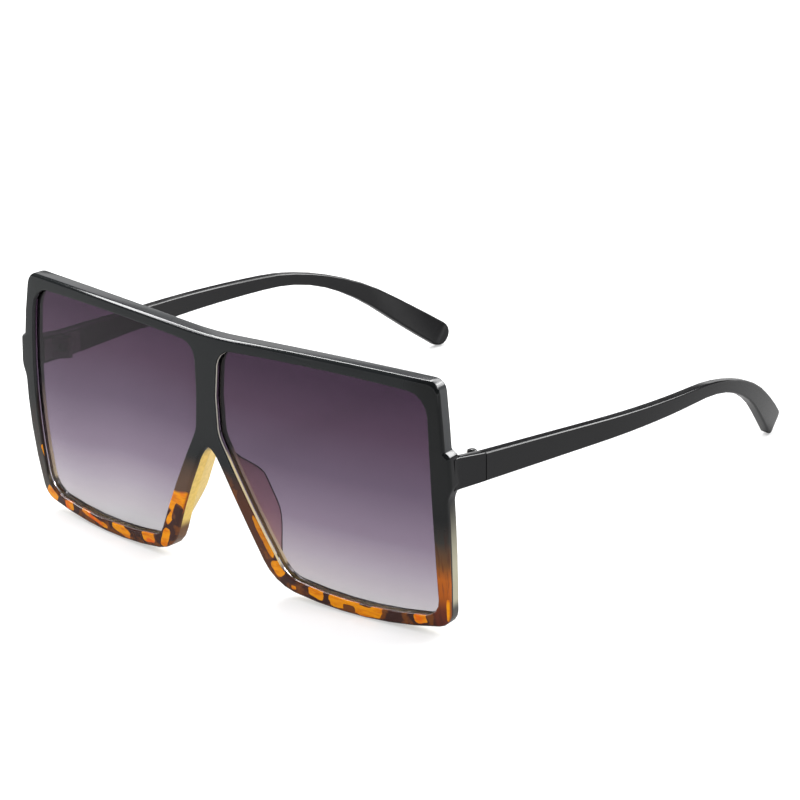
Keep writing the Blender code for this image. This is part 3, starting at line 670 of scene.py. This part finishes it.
def depth_behind_face(point):
    """How far a point lies behind the curved front face."""
    flat = upright_point(point)
    sag = (flat.z - UPRIGHT_MIDDLE) ** 2 / (2.0 * UPRIGHT_RADIUS)
    return FACE_RADIUS - math.hypot(flat.x, FACE_RADIUS - (flat.y - sag))


def smoothstep(share):
    """Ease from 0 to 1 without a corner at either end."""
    share = min(max(share, 0.0), 1.0)
    return share * share * (3.0 - 2.0 * share)


def pad_margin(point):
    """How far a point of a nose pad lies in from the rear edge of the pad."""
    up = upright_point(point).z
    upper = smoothstep((PAD_TOP - up) / (PAD_TOP - PAD_FULL_TOP))
    lower = smoothstep((up - PAD_BOTTOM) / (PAD_FULL_BOTTOM - PAD_BOTTOM))
    return RIM_DEPTH + PAD_REACH * min(upper, lower) - depth_behind_face(point)


def mark_front(piece):
    """Store what the front's colours follow.

    These are the depth behind the face, how deep the print reaches, how far a face looks outward
    and the margin to a nose pad's rear edge.
    """
    mesh = piece.data
    names = ("behind", "print_reach", "outward", "pad_margin")
    for name in names:
        mesh.attributes.new(name, "FLOAT", "CORNER")
    behind, reach, outward, margin = (mesh.attributes[name] for name in names)
    boxes = {side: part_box(f"{side}_lens") for side in SIDES}
    for face in mesh.polygons:
        depth = print_reach(face, boxes["left" if face.center.x > 0 else "right"])
        for loop in face.loop_indices:
            place = mesh.vertices[mesh.loops[loop].vertex_index].co
            behind.data[loop].value = depth_behind_face(place)
            reach.data[loop].value = depth
            margin.data[loop].value = pad_margin(place)
            outward.data[loop].value = math.copysign(1.0, face.center.x) * face.normal.x


def print_reach(face, lens_box):
    """How far behind the front face the print reaches on a face of the front."""
    low, high = lens_box
    towards = (low + high) / 2 - face.center
    towards.y = 0.0
    aim = Vector((face.normal.x, 0.0, face.normal.z))
    inside = low.x < face.center.x < high.x and low.z < face.center.z < high.z
    if not inside or aim.length < WALL_LEVEL_SHARE or aim.dot(towards) < 0.0:
        return RIM_PRINT
    return LOWER_WALL_PRINT if aim.normalized().z > LOWER_WALL_RISE else WALL_PRINT


# Materials
def front_signals(tree):
    """The values that the front's colours follow, by name."""
    place = object_place(tree)
    across = axis(tree, place, "X")
    return SimpleNamespace(
        place=place,
        across=across,
        aside=math_node(tree, "ABSOLUTE", across),
        height=axis(tree, place, "Z"),
        behind=attribute(tree, "behind"),
        reach=attribute(tree, "print_reach"),
        outward=attribute(tree, "outward"),
        margin=attribute(tree, "pad_margin"),
    )


def front_material(look):
    """Glossy plastic: slate above, champagne below, with an amber print on the face."""
    made, tree, shader = new_material("two_tone_front")
    at = front_signals(tree)
    printed = math_node(tree, "LESS_THAN", at.behind, at.reach)
    colour = blend(tree, printed, body_colours(tree, look, at), print_colours(tree, look, at))
    tree.links.new(colour, shader.inputs["Base Color"])
    shader.inputs["IOR"].default_value = 1.48
    handled(tree, shader, FRONT_RELIEF, roughness=0.10, smudge=0.05, scratch=0.05, ripple=0.10)
    return made


def blots(tree, place, shapes, waver):
    """1 inside rounded oblong blots with uneven edges, else 0."""
    nearest = FAR_AWAY
    for across, height, length, width, slope in shapes:
        turned = add_node(tree, "Mapping", {
            "Vector": place,
            "Location": (across, 0.0, height),
            "Rotation": (0.0, -math.radians(slope), 0.0),
            "Scale": (length, 1.0, width),
        }, vector_type="TEXTURE").outputs["Vector"]
        flat = add_node(tree, "VectorMath", {0: turned, 1: (1.0, 0.0, 1.0)}, operation="MULTIPLY").outputs[0]
        squared = add_node(tree, "VectorMath", {0: flat, 1: flat}, operation="MULTIPLY").outputs[0]
        size = add_node(tree, "VectorMath", {0: squared}, operation="LENGTH").outputs["Value"]
        nearest = math_node(tree, "MINIMUM", size, nearest)
    return between(tree, math_node(tree, "ADD", nearest, waver), BLOT_EDGE)


def patch_mask(tree, look, place):
    """1 on the amber patches of the print, less their notches."""
    uneven = math_node(tree, "SUBTRACT", noise(tree, place, PATCH_EDGE_NOISE), 0.5)
    uneven = product(tree, uneven, look.patch_waver)
    notch = blots(tree, place, NOTCHES, uneven)
    return product(tree, blots(tree, place, PATCHES, uneven), rest_of_one(tree, notch))


def amber_colours(tree, look, place, edge_light_and_shade, near_leg):
    """Streaked amber that is redder in places, browner on the near nose leg, and darker on the rounded edges
    as painted shade.
    """
    streak = noise(tree, stretched(tree, place, AMBER_STREAK_STRETCH, AMBER_STREAK_TURN), AMBER_STREAK_NOISE)
    streak = product(tree, between(tree, streak, AMBER_STREAKS), AMBER_STREAK_STRENGTH)
    deep = tuple(channel * share for channel, share in zip(look.amber_colour, AMBER_STREAK_SHARES))
    amber = blend(tree, streak, look.amber_colour, deep)
    red = between(tree, noise(tree, place, AMBER_RED_NOISE), AMBER_RED_CLOUDS)
    amber = blend(tree, red, amber, AMBER_RED)
    amber = blend(tree, edge_light_and_shade, amber, AMBER_EDGE_SHADE)
    return blend(tree, product(tree, near_leg, AMBER_NEAR_LEG_SHARE), amber, AMBER_NEAR_LEG)


def ground_colours(tree, look, place, waver, edge_light_and_shade, near_leg):
    """Dark brown between the patches, with lighter clouds and painted light on the rounded edges."""
    ground = blend(tree, waver, look.dark_colour, GROUND_LIGHT)
    ground = blend(tree, edge_light_and_shade, ground, GROUND_EDGE_LIGHT)
    cloud = between(tree, noise(tree, place, GROUND_NOISE, detail=3.0), GROUND_CLOUDS)
    cloud = math_node(tree, "MAXIMUM", cloud, product(tree, near_leg, GROUND_NEAR_LEG_SHARE))
    return blend(tree, cloud, ground, GROUND_CLOUD)


def upright_colours(tree, at, wavy):
    """Upright streaks on the outer rims: brown and amber on the near one, slate on the far one."""
    fall = between(tree, wavy, UPRIGHT_FALL_HEIGHT, smooth=False)
    near = math_node(tree, "GREATER_THAN", at.across, 0.0)
    colours = blend(tree, near, ramp(tree, fall, FAR_UPRIGHT_STOPS), ramp(tree, fall, NEAR_UPRIGHT_STOPS))
    streak = noise(tree, stretched(tree, at.place, UPRIGHT_STRETCH), UPRIGHT_NOISE)
    streak = product(tree, between(tree, streak, UPRIGHT_STREAKS), UPRIGHT_STREAK_STRENGTH)
    return blend(tree, streak, colours, UPRIGHT_STREAK)


def print_colours(tree, look, at):
    """Slate that fades down through brown to clean amber patches on a dark ground."""
    waver = noise(tree, at.place, PRINT_NOISE)
    wavy = math_node(tree, "ADD", at.height, product(tree, waver, PRINT_WAVE))
    # the rounded edges of the face, where painted shade and light go on the print
    edge_light_and_shade = between(tree, at.behind, TURNED_EDGE_BEHIND)
    near_leg = product(tree, between(tree, at.across, NEAR_LEG_END), between(tree, at.across, NEAR_LEG_START))
    patch = patch_mask(tree, look, at.place)
    amber = amber_colours(tree, look, at.place, edge_light_and_shade, near_leg)
    ground = ground_colours(tree, look, at.place, waver, edge_light_and_shade, near_leg)
    rims = blend(tree, patch, ground, amber)
    # painted shade on the lower walls of the openings
    rims = blend(tree, between(tree, at.behind, LOWER_WALL_BEHIND), rims, LOWER_WALL_PAINTED_SHADE)
    stain = product(tree, between(tree, wavy, FAR_STAIN_HEIGHT), math_node(tree, "LESS_THAN", at.across, 0.0))
    rims = blend(tree, stain, rims, FAR_LEG_STAIN)
    uprights = blend(tree, patch, upright_colours(tree, at, wavy), amber)
    outer = math_node(tree, "ADD", at.aside, product(tree, waver, UPRIGHT_WAVE))
    lower = blend(tree, between(tree, outer, UPRIGHT_ASIDE), rims, uprights)
    # painted shade on the slate at the near end of the brow and the upper near upright
    brow_painted_shade = share_of(look.upper_colour, NEAR_BROW_SHADE_SHARE)
    brow = blend(tree, between(tree, at.across, NEAR_BROW_SHADE_ACROSS), look.upper_colour, brow_painted_shade)
    shift = PRINT_WAVE / 2
    fade = between(tree, wavy, (look.fade_bottom + shift, look.fade_top + shift))
    return blend(tree, fade, lower, brow)


def lower_body_colours(tree, look, at, wall):
    """Champagne rims with dark sills, painted glow on the opening walls and painted shade at the feet of the
    side walls, and golden nose pads with rosy backs.
    """
    mottle = between(tree, noise(tree, at.place, MOTTLE_NOISE, detail=3.0), MOTTLE_CLOUDS)
    champagne = blend(tree, mottle, look.body_colour, share_of(look.body_colour, CHAMPAGNE_MOTTLE_SHARE))
    gold = blend(tree, mottle, look.pad_colour, share_of(look.pad_colour, GOLD_MOTTLE_SHARE))
    rosy = blend(tree, between(tree, at.margin, PAD_OUTLINE_MARGIN), PAD_OUTLINE, look.pad_back_colour)
    heel = product(
        tree,
        between(tree, at.height, PAD_HEEL_HEIGHT),
        between(tree, at.aside, PAD_HEEL_ASIDE),
        between(tree, at.outward, PAD_HEEL_OUTWARD),
    )
    pad_back = product(
        tree,
        between(tree, at.behind, PAD_BACK_BEHIND),
        between(tree, at.aside, PAD_BACK_ASIDE),
        between(tree, at.outward, PAD_BACK_OUTWARD),
    )
    sill = product(tree, wall, between(tree, at.height, SILL_HEIGHT))
    flank = product(tree, between(tree, at.aside, FLANK_ASIDE), between(tree, at.outward, FLANK_OUTWARD))
    # painted shade low on the outer side walls
    foot_shade = product(tree, flank, between(tree, at.height, FOOT_SHADE_HEIGHT))
    seam = product(tree, between(tree, at.behind, SEAM_BEHIND), between(tree, at.aside, UPRIGHT_ASIDE))
    colour = blend(tree, between(tree, at.aside, PAD_ASIDE), gold, champagne)
    layers = (
        (heel, PAD_HEEL),
        (pad_back, rosy),
        # painted glow on the walls of the openings
        (wall, look.wall_glow_colour),
        (sill, SILL),
        (flank, FLANK),
        (foot_shade, FOOT_SHADE),
        (seam, SEAM),
    )
    for mask, layer in layers:
        colour = blend(tree, mask, colour, layer)
    return colour


def upper_body_colours(tree, at, wall):
    """Slate with darker end pieces and a painted highlight line on the edge of the near opening."""
    back = between(tree, at.behind, END_PIECE_BEHIND)
    end_piece = math_node(tree, "MAXIMUM", back, between(tree, at.aside, END_PIECE_ASIDE))
    near = math_node(tree, "GREATER_THAN", at.across, 0.0)
    # Painted highlight along the front edge of the near opening's wall
    line = product(tree, wall, between(tree, at.behind, EDGE_HIGHLIGHT_BEHIND), near)
    return blend(tree, line, blend(tree, end_piece, SLATE, END_PIECE), EDGE_HIGHLIGHT)


def body_colours(tree, look, at):
    """Champagne rims and golden nose pads that turn slate black towards the brow."""
    opening_side = math_node(tree, "LESS_THAN", at.reach, (RIM_PRINT + WALL_PRINT) / 2)
    wall = product(tree, opening_side, math_node(tree, "LESS_THAN", at.behind, RIM_DEPTH - REAR_MARGIN))
    at_pads = between(tree, at.height, SLATE_HEIGHT_AT_PADS)
    elsewhere = between(tree, at.height, SLATE_HEIGHT)
    slate = mix_values(tree, between(tree, at.aside, SLATE_ASIDE), at_pads, elsewhere)
    # The opening walls lose their slate lower down, so that their painted glow shows
    glowing_wall = product(tree, wall, between(tree, at.height, WALL_GLOW_HEIGHT))
    slate = product(tree, slate, rest_of_one(tree, glowing_wall))
    lower = lower_body_colours(tree, look, at, wall)
    return blend(tree, slate, lower, upper_body_colours(tree, at, wall))


def lens_material(look):
    """Clear plastic with a purple-grey tint that weakens downwards."""
    made, tree, shader = new_material("gradient_lens")
    place = object_place(tree)
    across = axis(tree, place, "X")
    share = between(tree, axis(tree, place, "Z"), (look.gradient_bottom, look.gradient_top), smooth=False)
    # painted light: the far lens's tint is weakened near the nose
    painted_light = product(tree, between(tree, across, FAR_LENS_LIGHT_START), between(tree, across, FAR_LENS_LIGHT_END), FAR_LENS_LIGHT_SHARE)
    share = math_node(tree, "SUBTRACT", share, painted_light)
    tree.links.new(ramp(tree, share, TINT_STOPS), shader.inputs["Base Color"])
    shader.inputs["Transmission Weight"].default_value = 1.0
    shader.inputs["IOR"].default_value = 1.46
    shader.inputs["Specular IOR Level"].default_value = 0.30
    handled(tree, shader, LENS_RELIEF, roughness=look.roughness, smudge=0.02, scratch=0.04, ripple=0.02)
    return made


def temple_material(look):
    """Glossy black moulded plastic."""
    made, tree, shader = new_material("black_temple")
    flow = noise(tree, object_place(tree), TEMPLE_NOISE)
    colour = blend(tree, flow, share_of(look.colour, TEMPLE_DEEP_SHARE), look.colour)
    tree.links.new(colour, shader.inputs["Base Color"])
    shader.inputs["IOR"].default_value = 1.50
    handled(tree, shader, TEMPLE_RELIEF, roughness=look.roughness, smudge=0.06, scratch=0.06, ripple=0.2)
    return made


def metal_material(name, colour, roughness):
    """Turned and rolled metal with fine lines along its length."""
    made, tree, shader = new_material(name)
    grain = noise(tree, stretched(tree, object_place(tree), METAL_STRETCH), METAL_NOISE, detail=3.0)
    colours = blend(tree, grain, share_of(colour, METAL_WORN_SHARE), colour)
    tree.links.new(colours, shader.inputs["Base Color"])
    shader.inputs["Metallic"].default_value = 1.0
    handled(tree, shader, METAL_RELIEF, roughness=roughness, smudge=0.10, scratch=0.10, ripple=0.3)
    return made


def seen_ray(tree, path):
    """1 on rays that the camera sends out and on those that go on through the lenses."""
    return math_node(tree, "MAXIMUM", path.outputs["Is Camera Ray"], path.outputs["Is Transmission Ray"])


def floor_material():
    """Plain white floor that keeps the shadows."""
    made, tree, shader = new_material("white_floor")
    shader.inputs["Roughness"].default_value = 1.0
    shader.inputs["Specular IOR Level"].default_value = 0.0
    away = add_node(tree, "VectorMath", {0: object_place(tree)}, operation="LENGTH").outputs["Value"]
    glow = mix_values(tree, between(tree, away, FLOOR_GLOW_REACH), FLOOR_GLOW_NEAR, FLOOR_GLOW_AWAY)
    path = add_node(tree, "LightPath")
    pale = blend(tree, path.outputs["Is Glossy Ray"], grey(FLOOR_PALE), grey(FLOOR_IN_REFLECTIONS))
    pale = blend(tree, path.outputs["Is Transmission Ray"], pale, grey(FLOOR_THROUGH_LENSES))
    tree.links.new(pale, shader.inputs["Base Color"])
    shader.inputs["Emission Color"].default_value = (1.0, 1.0, 1.0, 1.0)
    tree.links.new(product(tree, seen_ray(tree, path), glow), shader.inputs["Emission Strength"])
    return made


def set_world():
    """A white background, soft light all round, and a dark studio above it for reflections."""
    world = bpy.data.worlds.new("white_room")
    bpy.context.scene.world = world
    world.use_nodes = True
    tree = world.node_tree
    tree.nodes.clear()
    aim = add_node(tree, "TexCoord").outputs["Generated"]
    below = rest_of_one(tree, between(tree, axis(tree, aim, "Z"), HORIZON))
    mirrored = math_node(tree, "ADD", product(tree, below, 1.0 - DARK_STUDIO), DARK_STUDIO)
    path = add_node(tree, "LightPath")
    light = mix_values(tree, path.outputs["Is Glossy Ray"], 1.0, mirrored)
    strength = mix_values(tree, seen_ray(tree, path), light, 1.0)
    background = add_node(tree, "Background", {"Color": (1.0, 1.0, 1.0, 1.0), "Strength": strength})
    add_node(tree, "OutputWorld", {"Surface": background.outputs["Background"]})


# Operators
class SUNGLASSES_OT_front(bpy.types.Operator):
    """Dress the moulded front."""

    bl_idname = "sunglasses.front"
    bl_label = "Front"

    def execute(self, context):
        look = context.scene.sunglasses_front
        piece = smooth_copy("front_frame", "moulded_front", front_material(look))
        mark_front(piece)
        return {"FINISHED"}


class SUNGLASSES_OT_lenses(bpy.types.Operator):
    """Dress both lenses."""

    bl_idname = "sunglasses.lenses"
    bl_label = "Lenses"

    def execute(self, context):
        material = lens_material(context.scene.sunglasses_lens)
        for side in SIDES:
            smooth_copy(f"{side}_lens", f"{side}_tinted_lens", material, LENS_SHARP_ANGLE)
        return {"FINISHED"}


class SUNGLASSES_OT_temples(bpy.types.Operator):
    """Dress both temples."""

    bl_idname = "sunglasses.temples"
    bl_label = "Temples"

    def execute(self, context):
        material = temple_material(context.scene.sunglasses_temple)
        for side in SIDES:
            smooth_copy(f"{side}_temple", f"{side}_black_temple", material)
        return {"FINISHED"}


class SUNGLASSES_OT_hinges(bpy.types.Operator):
    """Dress the hinge leaves and screws."""

    bl_idname = "sunglasses.hinges"
    bl_label = "Hinges"

    def execute(self, context):
        look = context.scene.sunglasses_hinge
        nickel = metal_material("nickel_leaf", look.leaf_colour, LEAF_ROUGHNESS)
        steel = metal_material("steel_screw", look.screw_colour, SCREW_ROUGHNESS)
        for side in SIDES:
            for part in ("front", "temple"):
                node = f"{side}_{part}_hinge_leaf"
                name = f"{side}_{part}_nickel_leaf"
                smooth_copy(node, name, nickel, HINGE_SHARP_ANGLE)
            node = f"{side}_hinge_screw"
            smooth_copy(node, f"{side}_steel_screw", steel, HINGE_SHARP_ANGLE)
        return {"FINISHED"}


class SUNGLASSES_OT_stage(bpy.types.Operator):
    """Set the floor, the lamps and the camera."""

    bl_idname = "sunglasses.stage"
    bl_label = "Stage"

    def execute(self, context):
        look = context.scene.sunglasses_stage
        bpy.ops.object.select_all(action="DESELECT")
        bpy.ops.mesh.primitive_plane_add(size=look.floor_size, location=(0.0, 0.0, 0.0))
        floor = context.object
        floor.name = "floor"
        floor.data.materials.append(floor_material())
        set_world()
        for lamp in LAMPS:
            add_lamp(*lamp)
        set_camera(look)
        context.scene.view_settings.view_transform = "Standard"
        return {"FINISHED"}


def direction(azimuth, elevation):
    """The way from the object towards a lamp or the camera; azimuth 0 is the front."""
    level = math.cos(elevation)
    return Vector((math.sin(azimuth) * level, -math.cos(azimuth) * level, math.sin(elevation)))


def add_lamp(name, azimuth, elevation, distance, size, power):
    """A soft lamp that shines on the object from a direction, given in degrees."""
    aim = direction(math.radians(azimuth), math.radians(elevation))
    bpy.ops.object.light_add(type="AREA", location=aim * distance)
    lamp = bpy.context.object
    lamp.name = name
    lamp.data.shape = "RECTANGLE"
    lamp.data.size, lamp.data.size_y = size
    lamp.data.energy = power
    lamp.rotation_euler = aim.to_track_quat("Z", "Y").to_euler()


def set_camera(look):
    """The camera of the photograph."""
    bpy.ops.object.camera_add()
    camera = bpy.context.object
    camera.name = "photograph_camera"
    camera.data.sensor_width = SENSOR_WIDTH
    camera.data.lens = look.lens
    back = direction(look.azimuth, look.elevation)
    right = Vector((math.cos(look.azimuth), math.sin(look.azimuth), 0.0))
    up = back.cross(right)
    across = right * math.cos(look.roll) - up * math.sin(look.roll)
    upward = right * math.sin(look.roll) + up * math.cos(look.roll)
    turn = Matrix((across, upward, back)).transposed().to_4x4()
    camera.matrix_world = Matrix.Translation(Vector(look.target) + back * look.distance) @ turn
    bpy.context.scene.camera = camera


class SUNGLASSES_PT_panel(bpy.types.Panel):
    """The build steps and their settings."""

    bl_idname = "SUNGLASSES_PT_panel"
    bl_label = "Square Sunglasses"
    bl_space_type = "VIEW_3D"
    bl_region_type = "UI"
    bl_category = "Sunglasses"

    def draw(self, context):
        for step, settings in STEPS:
            box = self.layout.box()
            box.operator(f"sunglasses.{step}")
            group = getattr(context.scene, settings)
            for name in group.bl_rna.properties.keys():
                if name not in ("rna_type", "name"):
                    box.prop(group, name)


STEPS = (
    ("front", "sunglasses_front"),
    ("lenses", "sunglasses_lens"),
    ("temples", "sunglasses_temple"),
    ("hinges", "sunglasses_hinge"),
    ("stage", "sunglasses_stage"),
)
SETTINGS = (
    ("sunglasses_front", FrontSettings),
    ("sunglasses_lens", LensSettings),
    ("sunglasses_temple", TempleSettings),
    ("sunglasses_hinge", HingeSettings),
    ("sunglasses_stage", StageSettings),
)
OPERATORS = (
    SUNGLASSES_OT_front,
    SUNGLASSES_OT_lenses,
    SUNGLASSES_OT_temples,
    SUNGLASSES_OT_hinges,
    SUNGLASSES_OT_stage,
)


def register():
    for name, group in SETTINGS:
        bpy.utils.register_class(group)
        setattr(bpy.types.Scene, name, PointerProperty(type=group))
    for operator in OPERATORS:
        bpy.utils.register_class(operator)
    bpy.utils.register_class(SUNGLASSES_PT_panel)


def unregister():
    bpy.utils.unregister_class(SUNGLASSES_PT_panel)
    for operator in reversed(OPERATORS):
        bpy.utils.unregister_class(operator)
    for name, group in reversed(SETTINGS):
        delattr(bpy.types.Scene, name)
        bpy.utils.unregister_class(group)


def main():
    """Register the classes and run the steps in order."""
    register()
    for step, _ in STEPS:
        getattr(bpy.ops.sunglasses, step)()


if __name__ == "__main__":
    main()
